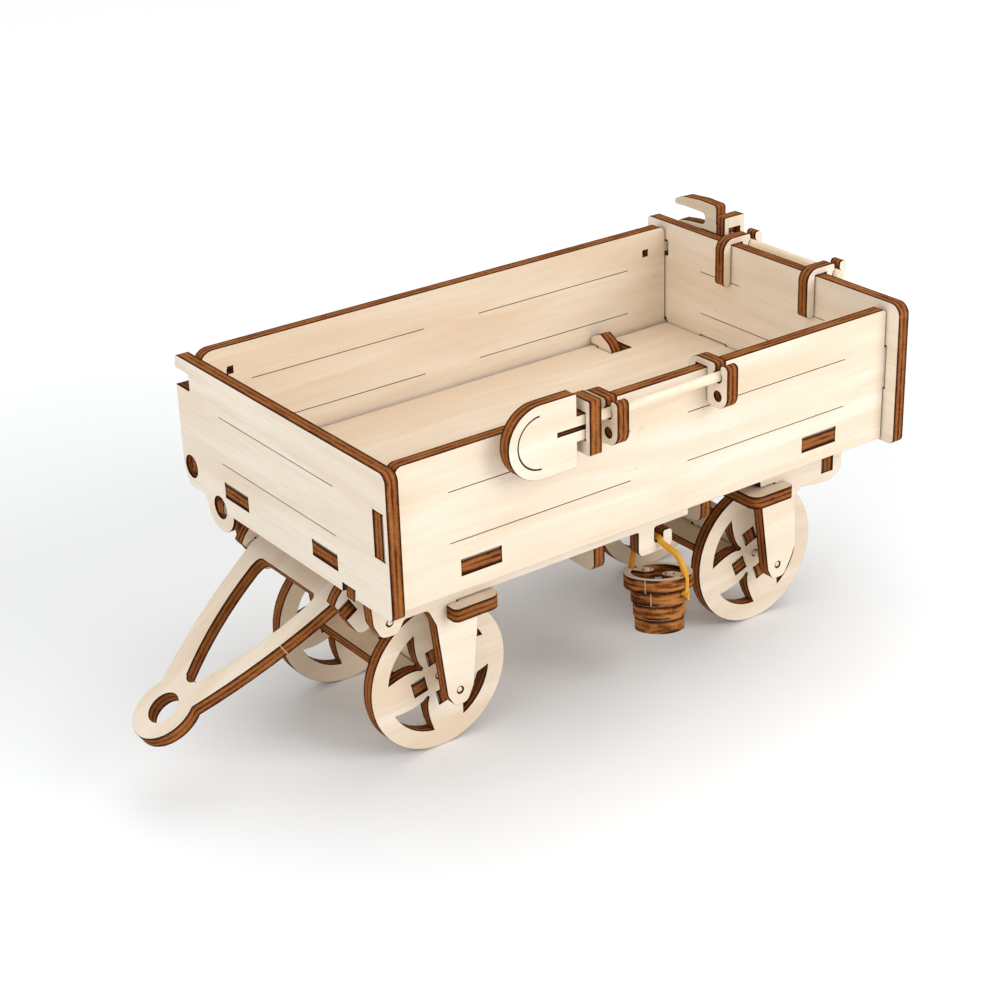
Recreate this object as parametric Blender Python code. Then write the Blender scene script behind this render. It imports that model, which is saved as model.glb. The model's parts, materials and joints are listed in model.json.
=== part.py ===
"""Toy farm trailer of laser-cut 3 mm plywood, modelled as loose sheets that slot together.

The bed tips sideways on the chassis, its far side drops, the drawbar hinges, both wheelsets
spin, the two tools slide out of their clips and the bucket swings under its hook.

All sizes are in millimetres and become metres when a mesh is made. In the drawing frame x runs
from the front panel's front face to the rear, y from the near board's outer face to the far
side, and z up from the underside of the near board. The root empty moves that frame so that the
world origin is under the middle of the whole trailer, on the ground.
"""
import math

import bmesh
import bpy
from mathutils import Matrix, Vector
from mathutils.geometry import delaunay_2d_cdt

MM = 0.001

# Sheet stock and fits
SHEET = 3.0
FIT = 0.25              # free gap round a tab in its slot
LINE_WIDTH = 0.25       # engraved straight line
ARC_WIDTH = 0.4         # engraved arc, burnt wider
GROOVE_DEPTH = 0.25
ARC_STEP = 12.0         # degrees of turn for each facet of a rounded corner

# Bed
FRONT_X = 0.0                   # outer face of the front panel
REAR_X = 130.7                  # inner face of the rear panel
BOARD_X = (3.3, 130.4)          # boards and floor between the two end panels
BOARD_TOP = 30.2
REAR_TOP = 31.75
FAR_BOARD_Y = 73.3
FLOOR_Z = 3.5
FLOOR_Y = (3.2, 72.5)
BOARD_TABS_Z = (12.0, 21.5)     # near board's tabs through the end panels
FLOOR_TABS_X = ((17.6, 26.7), (106.9, 116.2))
FLOOR_TABS_Y = ((17.0, 26.3), (51.0, 60.6))
BED_MID_X = 66.85
LOBE_REACH = 5.5        # rounded lobe of an end panel round the tipping axis
HINGE_HOLE_R = 2.55
REAR_LINES = ((17.0, 60.5, 12.1), (47.0, 60.7, 22.5), (18.9, 26.5, 22.1))

# Joint axes
TIP_AXIS = (0.0, 63.4, -0.1)
DROP_AXIS = (0.0, 74.7, 5.45)
DRAWBAR_AXIS = (7.7, 38.05, -8.5)
DRAWBAR_SLOPE = 32.6
AXLE_X = (23.56, 111.38)
AXLE_Y = 38.45
AXLE_Z = -29.5
HOOK_AXIS = (76.45, 13.0, -11.85)

# Chassis
NEAR_PLATE_Y = 11.5
FAR_PLATE_Y = 61.9
SIDE_TOP = 2.4
STRIP_LOW = -8.8
PIN_R = 0.6             # round pins of the axles and the drawbar's hinge
PIN_HOLE_R = 0.85
PIN_BEARING = (0.1, -0.12)      # a leg rests on its pin, so its hole sits low and to the rear
BOLSTER_Z = -12.0
CROSS_PLATES_X = (61.3, 91.1)
CROSS_TAB_Z = (-4.6, 0.2)
END_PLATE_X = 124.4
END_TAB_Z = (-10.6, -6.8)

# Wheels
WHEEL_R = 16.7
NEAR_WHEEL_Y = 19.0
FAR_WHEEL_Y = 54.9
WINDOW_R = 12.6
WINDOW_APEX_R = 4.9
WINDOW_HALF_ANGLE = 27.5
SPOKE_TURN = 48.0               # from a window's middle to the hub slot beside it
WHEELSET_TURN = (54.5, 62.5)    # turn of the front and rear wheelsets as they stand
HUB_TAB = (3.6, 6.5)            # tabs of the axle plates, from the axle's middle

# Tools and their clips
ROD_R = 1.05                    # round stick that serves as a tool's handle
ROD_OFF = 3.4                   # its middle from the board's outer face
ROD_DROP = 1.0                  # and below the board's top
SEAT_R = 1.35                   # seat of the handle in a clip
SHOVEL_Y = -ROD_OFF - SHEET / 2
SHOVEL_CLIPS_X = (50.9, 79.2)
FORK_X = REAR_X + SHEET + ROD_OFF - SHEET / 2
FORK_CLIPS_Y = (22.0, 49.7)

# Bucket
BUCKET_TOP = (77.55, 13.0, -20.75)
BUCKET_UP = (0.1077, 0.1691, 0.9797)
BAND_TURN = -73.6               # direction of the band's near notch, seen from above
BUCKET_RADII = (7.55, 6.15, 5.7, 5.4)
BUCKET_STEP = 3.2               # one layer and the gap under it
PEG_X = 3.0
PEG_R = 0.75
LOBE_R = 1.75                   # round lobe that carries a peg
BAND_R = 0.7
BAND_NOTCH = 1.5

# World origin: under the middle of the overall box
BOX_MID_X = 51.91
BOX_MID_Y = 37.0
GROUND_Z = AXLE_Z - WHEEL_R

VENEER = (0.90, 0.80, 0.66)
PANEL = (0.80, 0.74, 0.64)
INSIDE = (0.78, 0.64, 0.47)
BUCKET_BROWN = (0.24, 0.08, 0.03)
RUBBER = (0.72, 0.38, 0.02)


# ---------------------------------------------------------------- outlines

def arc(cx, cy, radius, start, end, step=ARC_STEP):
    """Points of an arc from start to end degrees, both included."""
    steps = max(2, math.ceil(abs(end - start) / step))
    points = []
    for i in range(steps + 1):
        angle = math.radians(start + (end - start) * i / steps)
        points.append((cx + radius * math.cos(angle), cy + radius * math.sin(angle)))
    return points


def circle(cx, cy, radius, step=ARC_STEP):
    return arc(cx, cy, radius, 0, 360, step)[:-1]


def box(x0, y0, x1, y1):
    return [(x0, y0), (x1, y0), (x1, y1), (x0, y1)]


def rounded(*corners):
    """Closed outline through (x, y) or (x, y, radius) corners, filleted where a radius is given."""
    points = []
    for i, corner in enumerate(corners):
        here = Vector(corner[:2])
        if len(corner) == 2:
            points.append(tuple(here))
            continue
        back = (Vector(corners[i - 1][:2]) - here)
        ahead = (Vector(corners[(i + 1) % len(corners)][:2]) - here)
        half = back.angle(ahead) / 2
        setback = min(corner[2] / math.tan(half), 0.49 * back.length, 0.49 * ahead.length)
        radius = setback * math.tan(half)
        back.normalize()
        ahead.normalize()
        centre = here + (back + ahead).normalized() * radius / math.sin(half)
        first = here + back * setback - centre
        sweep = first.angle_signed(here + ahead * setback - centre)
        steps = max(2, math.ceil(math.degrees(abs(sweep)) / ARC_STEP))
        for k in range(steps + 1):
            turn = Matrix.Rotation(-sweep * k / steps, 2)
            points.append(tuple(centre + turn @ first))
    return points


def turned(points, degrees):
    """The outline turned about the origin."""
    c = math.cos(math.radians(degrees))
    s = math.sin(math.radians(degrees))
    return [(x * c - y * s, x * s + y * c) for x, y in points]


def bowed(start, end, bow, steps=8):
    """Points of a shallow curve from start to end that bulges by bow to the left of its way."""
    a = Vector(start)
    way = Vector(end) - a
    left = Vector((-way.y, way.x)).normalized()
    spots = [k / steps for k in range(steps + 1)]
    return [tuple(a + way * t + left * 4 * bow * t * (1 - t)) for t in spots]


def line_groove(u0, u1, v):
    return box(u0, v - LINE_WIDTH / 2, u1, v + LINE_WIDTH / 2)


def arc_groove(cx, cy, radius, start, end):
    outer = arc(cx, cy, radius + ARC_WIDTH / 2, start, end, 8.0)
    inner = arc(cx, cy, radius - ARC_WIDTH / 2, end, start, 8.0)
    return outer + inner


def slot(low_u, high_u, low_v, high_v):
    """A slot with the fitting gap round the tab it takes."""
    return box(low_u - FIT, low_v - FIT, high_u + FIT, high_v + FIT)


# ---------------------------------------------------------------- meshes

def inside(point, loops):
    """Even-odd test of a point against all loops at once."""
    x, y = point
    crossings = 0
    for loop in loops:
        for (x0, y0), (x1, y1) in zip(loop, loop[1:] + loop[:1]):
            if (y0 > y) != (y1 > y) and x < x0 + (y - y0) * (x1 - x0) / (y1 - y0):
                crossings += 1
    return crossings % 2 == 1


def cap(loops):
    """Triangles that fill the first loop and leave the others open, as point numbers."""
    points = [Vector(p) for loop in loops for p in loop]
    edges = []
    start = 0
    for loop in loops:
        count = len(loop)
        edges += [(start + i, start + (i + 1) % count) for i in range(count)]
        start += count
    found, _, faces, origins, _, _ = delaunay_2d_cdt(points, edges, [], 1, 1e-6)
    triangles = []
    for face in faces:
        middle = sum((found[i] for i in face), Vector((0, 0))) / len(face)
        if inside(middle, loops):
            triangles.append([origins[i][0] for i in face])
    return triangles


def sheet_mesh(name, plane, at, outline, holes=(), grooves=(), thickness=SHEET):
    """A flat sheet cut along an outline, with through holes and shallow grooves in its low face.

    plane names the axis the sheet is square to: X takes (y, z) outlines, Y takes (x, z) and
    Z takes (x, y). The sheet runs from `at` along that axis for its thickness.
    """
    place = {
        "X": lambda u, v, w: (w, u, v),
        "Y": lambda u, v, w: (u, w, v),
        "Z": lambda u, v, w: (u, v, w),
    }[plane]
    verts = []
    faces = []

    def add_loop(loop, w):
        first = len(verts)
        verts.extend(place(u, v, w) for u, v in loop)
        return list(range(first, len(verts)))

    def add_wall(low, high):
        count = len(low)
        for i in range(count):
            k = (i + 1) % count
            faces.append((low[i], low[k], high[k], high[i]))

    cuts = [list(outline)] + [list(hole) for hole in holes]
    low = [add_loop(loop, at) for loop in cuts]
    high = [add_loop(loop, at + thickness) for loop in cuts]
    for lower, upper in zip(low, high):
        add_wall(lower, upper)
    groove_rims = [add_loop(groove, at) for groove in grooves]
    for rims, loops in ((low + groove_rims, cuts + list(grooves)), (high, cuts)):
        numbers = [i for rim in rims for i in rim]
        faces.extend(tuple(numbers[i] for i in tri) for tri in cap(loops))
    for groove, rim in zip(grooves, groove_rims):
        floor = add_loop(groove, at + GROOVE_DEPTH)
        add_wall(rim, floor)
        faces.extend(tuple(floor[i] for i in tri) for tri in cap([groove]))

    mesh = bpy.data.meshes.new(name)
    mesh.from_pydata([Vector(v) * MM for v in verts], [], faces)
    return mesh


def face_outwards(mesh):
    """Make every face of a closed mesh point out."""
    work = bmesh.new()
    work.from_mesh(mesh)
    bmesh.ops.recalc_face_normals(work, faces=work.faces)
    work.to_mesh(mesh)
    work.free()


# ---------------------------------------------------------------- objects

def material(name, colour, roughness=0.62):
    made = bpy.data.materials.new(name)
    made.use_nodes = True
    shader = made.node_tree.nodes["Principled BSDF"]
    shader.inputs["Base Color"].default_value = (*colour, 1.0)
    shader.inputs["Roughness"].default_value = roughness
    shader.inputs["Metallic"].default_value = 0.0
    return made


def empty(name, location, parent=None):
    made = bpy.data.objects.new(name, None)
    made.location = Vector(location) * MM
    made.empty_display_size = 0.01
    made.parent = parent
    bpy.context.collection.objects.link(made)
    return made


def add_piece(mesh, parent, colour, pivot=(0, 0, 0), local=None):
    """Link a mesh as its own object whose origin sits at pivot, the parent's place.

    local, if given, is an extra turn or move of the piece under its parent.
    """
    mesh.transform(Matrix.Translation(-Vector(pivot) * MM))
    face_outwards(mesh)
    mesh.shade_smooth()
    mesh.set_sharp_from_angle(angle=math.radians(30))
    mesh.materials.append(material(mesh.name + "_ply", colour))
    made = bpy.data.objects.new(mesh.name, mesh)
    made.parent = parent
    if local is not None:
        made.matrix_local = local
    bpy.context.collection.objects.link(made)
    return made


# ---------------------------------------------------------------- bed

def end_panel_outline(near_edge, top, far_edge, top_round):
    """Outline of an end panel in (y, z), with the latch notch, the tipping lobe and the rest."""
    low = -0.6
    lobe = arc(TIP_AXIS[1], TIP_AXIS[2], LOBE_REACH, 186, 352)
    return rounded(
        (near_edge, low, 1.4),
        (11.2, low), (11.2, 1.35), (15.8, 1.35), (15.8, low), *lobe,
        (70.1, 0.75), (far_edge - 1.8, 0.75, 1.2), (far_edge - 0.3, 3.9, 0.6), (far_edge, 6.0),
        (far_edge, 23.4), (72.4, 23.4, 0.5), (72.4, 27.3, 0.5), (far_edge, 27.3),
        (far_edge - 0.6, top, 0.8), (near_edge, top, top_round))


def end_panel_holes():
    cuts = [circle(TIP_AXIS[1], TIP_AXIS[2], HINGE_HOLE_R),
            circle(DROP_AXIS[1], DROP_AXIS[2], HINGE_HOLE_R)]
    cuts += [slot(y0 + 0.3, y1 - 0.3, FLOOR_Z, FLOOR_Z + SHEET) for y0, y1 in FLOOR_TABS_Y]
    cuts.append(slot(0, SHEET, *BOARD_TABS_Z))
    return cuts


def make_bed(root):
    pivot = empty("bed_pivot", TIP_AXIS, root)
    front = end_panel_outline(-1.6, BOARD_TOP, 78.2, 2.0)
    rear = end_panel_outline(-3.5, REAR_TOP, 80.4, 2.6)
    front_lines = [line_groove(17.0, 60.8, z) for z in (10.9, 21.4)]
    rear_lines = [line_groove(*line) for line in REAR_LINES]
    panels = (
        ("front_panel", FRONT_X, front, front_lines),
        ("rear_panel", REAR_X, rear, rear_lines),
    )
    for name, x, outline, grooves in panels:
        mesh = sheet_mesh(name, "X", x, outline, end_panel_holes(), grooves=grooves)
        add_piece(mesh, pivot, PANEL, TIP_AXIS)
    make_near_board(pivot)
    make_floor(pivot)
    make_side_stop(pivot)
    make_clips(pivot)
    return pivot


def board_lines(lines, spans):
    return [line_groove(x0, x1, z) for z in lines for x0, x1 in spans]


def make_near_board(pivot):
    x0, x1 = BOARD_X
    z0, z1 = BOARD_TABS_Z
    tab = SHEET + 0.3
    outline = rounded(
        (x0, 0), (x1, 0), (x1, z0), (x1 + tab, z0), (x1 + tab, z1), (x1, z1),
        (x1, BOARD_TOP, 1.0), (x0, BOARD_TOP, 1.6),
        (x0, z1), (x0 - tab, z1), (x0 - tab, z0), (x0, z0))
    slots = [slot(a, b, FLOOR_Z, FLOOR_Z + SHEET) for a, b in FLOOR_TABS_X]
    lines = board_lines((10.9, 21.7), ((15.0, 59.4), (74.4, 118.6)))
    mesh = sheet_mesh("near_board", "Y", 0.0, outline, slots, grooves=lines)
    add_piece(mesh, pivot, VENEER, TIP_AXIS)


def make_floor(pivot):
    """The bed floor, with tabs through both end panels and the near board."""
    x0, x1 = BOARD_X
    y0, y1 = FLOOR_Y
    reach = SHEET + 0.3
    corners = [(x0, y0)]
    for a, b in FLOOR_TABS_X:
        corners += [(a, y0), (a, 0.0), (b, 0.0), (b, y0)]
    corners.append((x1, y0))
    for a, b in FLOOR_TABS_Y:
        corners += [(x1, a + 0.3), (x1 + reach, a + 0.3), (x1 + reach, b - 0.3), (x1, b - 0.3)]
    corners += [(x1, y1), (x0, y1)]
    for a, b in reversed(FLOOR_TABS_Y):
        corners += [(x0, b - 0.3), (x0 - reach, b - 0.3), (x0 - reach, a + 0.3), (x0, a + 0.3)]
    stop_slot = box(107.0, 65.0, 113.3, 70.6)
    mesh = sheet_mesh("bed_floor", "Z", FLOOR_Z, corners, [stop_slot])
    add_piece(mesh, pivot, INSIDE, TIP_AXIS)


def make_side_stop(pivot):
    """Upright tongue in the floor that keeps the drop side from folding inwards."""
    top = FLOOR_Z + SHEET
    outline = rounded(
        (65.3, FLOOR_Z), (70.3, FLOOR_Z), (70.3, top + FIT), (73.0, top + FIT),
        (73.0, 8.3, 0.6), (71.4, 9.2), (69.5, 10.0, 0.8), (68.0, 9.2), (66.5, 8.4, 0.8),
        (65.3, top + FIT))
    add_piece(sheet_mesh("side_stop", "X", 107.3, outline), pivot, PANEL, TIP_AXIS)


def clip_outline(board_top):
    """Clip over a board in (o, z): o runs outwards from the board's outer face.

    A jaw stands in front of the board, and the handle lies in a round seat behind the jaw.
    """
    low = board_top - 7.8
    top = board_top + 1.75
    wrap = board_top + FIT
    web, jaw = 2.7, 4.25
    seat_z = board_top - ROD_DROP
    start = math.degrees(math.acos((jaw - ROD_OFF) / SEAT_R))
    end = math.degrees(math.acos((web - ROD_OFF) / SEAT_R)) - 360
    seat = arc(ROD_OFF, seat_z, SEAT_R, start, end)
    return rounded(
        (-5.5, low - 1.9, 1.1), (-3.3, low - 1.9, 1.0), (-3.3, wrap), (0.3, wrap),
        (0.3, low, 1.3), (6.35, low, 2.9), (6.35, top, 1.3), (jaw, top, 0.8), *seat,
        (web, top, 0.7), (-5.5, top, 3.0))


def make_clips(pivot):
    outline = [(-o, z) for o, z in clip_outline(BOARD_TOP)]
    hole = circle(-3.5, BOARD_TOP - 5.2, 1.15)
    for name, x in zip(("board_clip_front", "board_clip_rear"), SHOVEL_CLIPS_X):
        mesh = sheet_mesh(name, "X", x, outline, [hole])
        add_piece(mesh, pivot, VENEER, TIP_AXIS)
    face = REAR_X + SHEET
    outline = [(face + o, z) for o, z in clip_outline(REAR_TOP)]
    hole = circle(face + 3.5, REAR_TOP - 5.2, 1.15)
    for name, y in zip(("tailgate_clip_near", "tailgate_clip_far"), FORK_CLIPS_Y):
        mesh = sheet_mesh(name, "Y", y, outline, [hole])
        add_piece(mesh, pivot, VENEER, TIP_AXIS)


def make_drop_side(bed):
    """The far board: it turns on two tongues in the end panels and latches in a notch at the rear."""
    offset = Vector(DROP_AXIS) - Vector(TIP_AXIS)
    pivot = empty("drop_side_pivot", offset, bed)
    x0, x1 = BOARD_X
    low, high, top = 3.95, 6.95, 30.7
    hem = 4.6           # bottom edge, clear of the floor as the board swings
    reach = SHEET - 0.5
    latch = SHEET
    outline = rounded(
        (x0, hem), (x0, low), (x0 - reach, low), (x0 - reach, high), (x0, high),
        (x0, top, 3.5), (x1, top, 3.5), (x1, 26.9), (x1 + latch, 26.9, 0.6), (x1 + latch, 24.4, 0.6),
        (x1, 24.4), (x1, high), (x1 + reach, high), (x1 + reach, low), (x1, low),
        (x1, hem))
    holes = [box(x - 0.8, 24.4, x + 0.8, 26.1) for x in (10.4, 124.3)]
    lines = board_lines((11.3, 22.1), ((15.5, 60.0), (75.0, 118.9)))
    mesh = sheet_mesh("drop_side", "Y", FAR_BOARD_Y, outline, holes, grooves=lines)
    add_piece(mesh, pivot, INSIDE, DROP_AXIS)


# ---------------------------------------------------------------- chassis

def side_plate_outline(with_hook):
    """Side plate in (x, z): end tongues, hinge lobe, two legs and, on one, the bucket hook."""
    x0, x1 = BOARD_X
    reach = SHEET + 0.3
    notch_low = BOLSTER_Z - FIT
    notch_high = BOLSTER_Z + SHEET + FIT
    corners = [
        (x0, SIDE_TOP), (x0, 1.1), (x0 - reach, 1.1), (x0 - reach, -1.3), (x0, -1.3),
        (x0 + 0.5, -8.0, 3.0), (5.5, -11.4, 2.2), (9.5, -11.6, 1.8), (11.0, -8.9, 1.0),
        (16.7, -8.9, 1.5), (18.6, -12.9, 3.0),
        (20.6, -30.1, 2.0), (22.2, -32.9, 1.6), (25.4, -32.9, 1.8), (27.1, -29.4, 2.0),
        (28.8, -14.0), (28.9, notch_low), (23.7, notch_low), (23.7, notch_high),
        (30.0, notch_high), (31.0, STRIP_LOW)]
    if with_hook:
        corners += [
            (70.9, STRIP_LOW, 0.5), (70.9, -14.85, 1.6), (80.2, -14.85, 1.3),
            (80.2, -10.4, 0.9), (77.7, -10.4, 0.5), (77.7, -12.6, 0.7), (75.2, -12.6, 0.8),
            (75.2, STRIP_LOW, 0.7), (84.7, STRIP_LOW, 0.4), (84.7, -7.4)]
    else:
        corners.append((84.7, STRIP_LOW))
        corners.append((84.7, -7.4))
    corners += [
        (105.5, -7.4), (105.7, notch_high), (110.0, notch_high), (110.0, notch_low),
        (106.2, notch_low), (106.3, -13.9), (108.6, -30.2, 1.8), (110.0, -32.9, 1.6),
        (113.4, -32.9, 1.8), (115.4, -29.4, 1.8), (116.8, -26.0, 2.5), (116.3, -13.6, 2.0),
        (118.0, -12.2, 1.0), (122.4, -12.9, 2.0), (127.0, -13.2, 2.0), (130.2, -11.4, 1.8),
        (x1, -1.3), (x1 + reach, -1.3), (x1 + reach, 1.1), (x1, 1.1), (x1, SIDE_TOP)]
    return rounded(*corners)


def make_chassis(root):
    frame = empty("chassis", (0, 0, 0), root)
    rod_x, _, rod_z = DRAWBAR_AXIS
    bear_x, bear_z = PIN_BEARING
    holes = [circle(rod_x - bear_x, rod_z, PIN_HOLE_R)]
    holes += [circle(x + bear_x, AXLE_Z + bear_z, PIN_HOLE_R) for x in AXLE_X]
    holes.append(slot(END_PLATE_X, END_PLATE_X + SHEET, *END_TAB_Z))
    holes += [slot(x, x + SHEET, *CROSS_TAB_Z) for x in CROSS_PLATES_X]
    for name, y, hook in (("side_plate_near", NEAR_PLATE_Y, True),
                          ("side_plate_far", FAR_PLATE_Y, False)):
        mesh = sheet_mesh(name, "Y", y, side_plate_outline(hook), holes)
        add_piece(mesh, frame, VENEER)
    make_bolsters(frame)
    make_cross_plates(frame)
    length = FAR_PLATE_Y + SHEET - NEAR_PLATE_Y
    rod = circle(rod_x, rod_z, PIN_R)
    mesh = sheet_mesh("drawbar_rod", "Y", NEAR_PLATE_Y, rod, thickness=length)
    add_piece(mesh, frame, PANEL)


def make_bolsters(frame):
    """Flat bars over the wheels; each end passes through a notch in a leg."""
    ends = (8.2, 68.7)
    near_in = NEAR_PLATE_Y + SHEET + FIT
    far_in = FAR_PLATE_Y - FIT
    near_out = NEAR_PLATE_Y - FIT
    far_out = FAR_PLATE_Y + SHEET + FIT
    outer, neck, inner = 21.0, 23.95, 32.5
    corners = rounded(
        (outer, ends[0], 1.2), (inner, ends[0], 2.4), (inner, ends[1], 2.4), (outer, ends[1], 1.2),
        (outer, far_out), (neck, far_out), (neck, far_in - 2.0), (outer, far_in - 2.0),
        (outer, near_in + 2.0), (neck, near_in + 2.0), (neck, near_out), (outer, near_out))
    mesh = sheet_mesh("bolster_front", "Z", BOLSTER_Z, corners)
    add_piece(mesh, frame, PANEL)
    mirrored = [(2 * BED_MID_X - x, y) for x, y in corners]
    mesh = sheet_mesh("bolster_rear", "Z", BOLSTER_Z, mirrored)
    add_piece(mesh, frame, PANEL)


def make_cross_plates(frame):
    """Upright plates between the side plates, each held by one tab in each of them."""
    near_in = NEAR_PLATE_Y + SHEET + FIT
    far_in = FAR_PLATE_Y - FIT
    near_out = NEAR_PLATE_Y
    far_out = FAR_PLATE_Y + SHEET
    plates = (
        ("cross_plate_middle", CROSS_PLATES_X[0], 2.0, -16.5, CROSS_TAB_Z),
        ("cross_plate_rear", CROSS_PLATES_X[1], 2.0, -14.2, CROSS_TAB_Z),
        ("cross_plate_end", END_PLATE_X, 1.4, -11.6, END_TAB_Z),
    )
    for name, x, top, low, (tab_low, tab_high) in plates:
        outline = rounded(
            (near_in, top), (near_in, tab_high), (near_out, tab_high), (near_out, tab_low),
            (near_in, tab_low), (near_in, low, 2.2), (far_in, low, 2.2), (far_in, tab_low),
            (far_out, tab_low), (far_out, tab_high), (far_in, tab_high), (far_in, top))
        add_piece(sheet_mesh(name, "X", x, outline), frame, PANEL)


# ---------------------------------------------------------------- drawbar

def make_drawbar(root):
    """Drawbar plate with two ears, drawn about the hinge axis with +x up its slope."""
    pivot = empty("drawbar_pivot", DRAWBAR_AXIS, root)
    pivot.rotation_euler = (0.0, -math.radians(DRAWBAR_SLOPE), 0.0)
    ring_x, ring_r, ring_hole_r = -41.1, 7.4, 3.55
    plate_low = 2.8
    tab_front, tab_rear = -4.8, -2.2
    ear_inner = FAR_WHEEL_Y - AXLE_Y
    ear_outer = ear_inner + SHEET
    bar_end = ear_inner - FIT

    ring = arc(ring_x, 0, ring_r, 300, 60, 8.0)
    arm = bowed(ring[-1], (tab_front, bar_end), 1.1)[1:]
    one_side = arm + [
        (tab_front, ear_outer), (tab_rear, ear_outer), (tab_rear, bar_end), (0.9, bar_end, 1.8)]
    other_side = [(x, -y, *radius) for x, y, *radius in reversed(one_side)]
    outline = rounded(*ring, *one_side, *other_side)
    nose_x, nose_r, rear_x, rear_half = -32.1, 1.9, -4.9, 11.0
    inner = bowed((nose_x - 1.2, nose_r), (rear_x - 2.6, rear_half), 1.3)
    rear = [(rear_x, rear_half - 0.1, 1.4), (rear_x, -rear_half + 0.1, 1.4)]
    mirror = [(x, -y) for x, y in reversed(inner)]
    nose = arc(nose_x, 0, nose_r, 240, 120)
    opening = rounded(*inner, *rear, *mirror, *nose)
    mesh = sheet_mesh("drawbar_plate", "Z", plate_low, outline,
                      [circle(ring_x, 0, ring_hole_r, 8.0), opening])
    add_piece(mesh, pivot, VENEER)

    front, rear, low, reach = -5.0, 4.9, -3.0, 8.9
    lap_end = tab_rear + FIT
    lap_low = plate_low - FIT
    lap_high = plate_low + SHEET + FIT
    top = arc(0, 0, reach, math.degrees(math.acos(rear / reach)),
              math.degrees(math.acos(front / reach)))
    ear = rounded((front, low, 2.0), (rear, low, 1.0), *top, (front, lap_high),
                  (lap_end, lap_high), (lap_end, lap_low), (front, lap_low))
    for name, y in (("drawbar_ear_near", -ear_outer), ("drawbar_ear_far", ear_inner)):
        mesh = sheet_mesh(name, "Y", y, ear, [circle(0, 0, PIN_HOLE_R)])
        add_piece(mesh, pivot, PANEL)


# ---------------------------------------------------------------- wheels

def wheel_window():
    """Fan-shaped window that opens along +x, with concave sides from its apex to the rim."""
    corner_x = WINDOW_R * math.cos(math.radians(WINDOW_HALF_ANGLE))
    steps = 5
    side = []
    for i in range(steps):
        along = (corner_x - WINDOW_APEX_R) * i / steps
        side.append((WINDOW_APEX_R + along, 0.3 + 0.24 * along ** 1.7))
    rim = arc(0, 0, WINDOW_R, -WINDOW_HALF_ANGLE, WINDOW_HALF_ANGLE, 7.0)
    return [(x, -y) for x, y in side] + rim + side[::-1]


def wheel_mesh(name, y):
    holes = [turned(wheel_window(), 90 * k) for k in range(4)]
    hub = slot(*HUB_TAB, -SHEET / 2, SHEET / 2)
    holes += [turned(hub, SPOKE_TURN + 90 * k) for k in range(4)]
    holes.append(circle(0, 0, PIN_R + FIT))
    return sheet_mesh(name, "Y", y, circle(0, 0, WHEEL_R, 4.0), holes)


def axle_plate_outline():
    """Half of a cross-shaped axle in (x, y): two tabs at each end, half lap from the +y end."""
    tab_in, tab_out = HUB_TAB
    body = FAR_WHEEL_Y - AXLE_Y - FIT
    face = FAR_WHEEL_Y - AXLE_Y + SHEET
    lap = SHEET / 2 + FIT
    right = [
        (tab_in, -body), (tab_in, -face), (tab_out, -face),
        (tab_out, face), (tab_in, face), (tab_in, body), (lap, body), (lap, -FIT)]
    return right + [(-x, y) for x, y in reversed(right)]


def make_wheelset(root, place, x, turn):
    """Two wheels, a cross-shaped axle of two half-lapped plates and two pins, turning as one."""
    spin = empty(f"wheelset_{place}_axis", (x, AXLE_Y, AXLE_Z), root)
    turned_wheel = Matrix.Rotation(-math.radians(turn), 4, "Y")
    sides = (
        ("near", NEAR_WHEEL_Y, NEAR_PLATE_Y, NEAR_WHEEL_Y + SHEET),
        ("far", FAR_WHEEL_Y, FAR_WHEEL_Y, FAR_PLATE_Y + SHEET),
    )
    for side, wheel_y, pin_start, pin_end in sides:
        mesh = wheel_mesh(f"wheel_{place}_{side}", wheel_y - AXLE_Y)
        add_piece(mesh, spin, VENEER, local=turned_wheel)
        mesh = sheet_mesh(f"axle_{place}_pin_{side}", "Y", pin_start - AXLE_Y,
                          circle(0, 0, PIN_R), thickness=pin_end - pin_start)
        add_piece(mesh, spin, VENEER)
    for side, flip, quarter in (("near", 0, 0), ("far", 180, 90)):
        mesh = sheet_mesh(f"axle_{place}_plate_{side}", "Z", -SHEET / 2, axle_plate_outline())
        stand = Matrix.Rotation(-math.radians(turn + SPOKE_TURN + quarter), 4, "Y")
        stand = stand @ Matrix.Rotation(math.radians(flip), 4, "Z")
        add_piece(mesh, spin, PANEL, local=stand)


# ---------------------------------------------------------------- tools

def prongs(middle, slit_start, neck, end):
    """Corners of the two prongs at a tool's tail, in (along, across), from low to high."""
    half, slit = 2.7, 0.45
    return [
        (neck, middle - half), (end, middle - half), (end, middle - slit),
        (slit_start, middle - slit), (slit_start, middle + slit), (end, middle + slit),
        (end, middle + half), (neck, middle + half)]


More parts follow.
